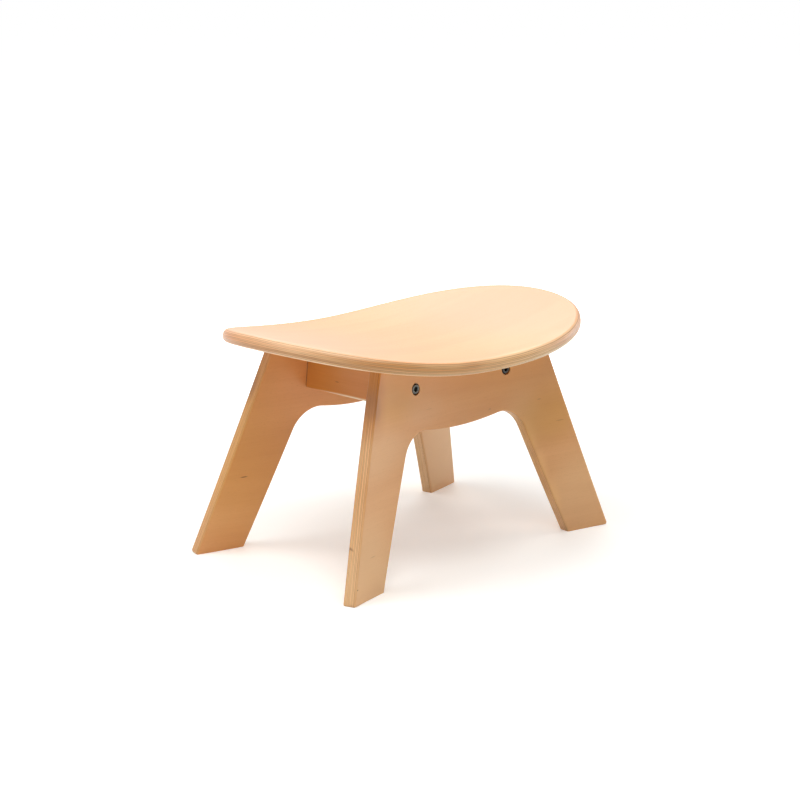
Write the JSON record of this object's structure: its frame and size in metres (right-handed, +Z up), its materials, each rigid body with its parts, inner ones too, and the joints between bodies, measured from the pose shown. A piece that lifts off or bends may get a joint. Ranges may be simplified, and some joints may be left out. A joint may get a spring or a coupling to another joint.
{
  "type": "stool",
  "caption": "Low stool with a curved oval seat on two bent, arched side panels that lean together and are joined by cross rails and bolts.",
  "frame": {"origin": "on the floor, under the middle of the seat", "axes": "+Z up, +X along the length of the seat, +Y across it from the front panel to the back panel"},
  "size_m": [0.4214, 0.279, 0.2489],
  "materials": {
    "beech_plywood": "clear satin lacquer on moulded beech plywood, with the plies showing on every edge",
    "solid_beech": "clear satin lacquer on solid beech",
    "dowel_beech": "raw turned beech",
    "bolt_steel": "dark zinc plating, satin",
    "screw_steel": "bright zinc plating"
  },
  "bodies": {
    "root": {"seat": "beech_plywood", "side_panel_front": "beech_plywood", "side_panel_back": "beech_plywood", "cross_rail_left": "solid_beech", "cross_rail_right": "solid_beech", "bolt_left_front": "bolt_steel", "barrel_nut_left_front": "bolt_steel", "seat_screw_left_front": "screw_steel", "dowel_left_front_lower": "dowel_beech", "dowel_left_front_upper": "dowel_beech", "bolt_left_back": "bolt_steel", "barrel_nut_left_back": "bolt_steel", "seat_screw_left_back": "screw_steel", "dowel_left_back_lower": "dowel_beech", "dowel_left_back_upper": "dowel_beech", "bolt_right_front": "bolt_steel", "barrel_nut_right_front": "bolt_steel", "seat_screw_right_front": "screw_steel", "dowel_right_front_lower": "dowel_beech", "dowel_right_front_upper": "dowel_beech", "bolt_right_back": "bolt_steel", "barrel_nut_right_back": "bolt_steel", "seat_screw_right_back": "screw_steel", "dowel_right_back_lower": "dowel_beech", "dowel_right_back_upper": "dowel_beech"}
  },
  "joints": []
}
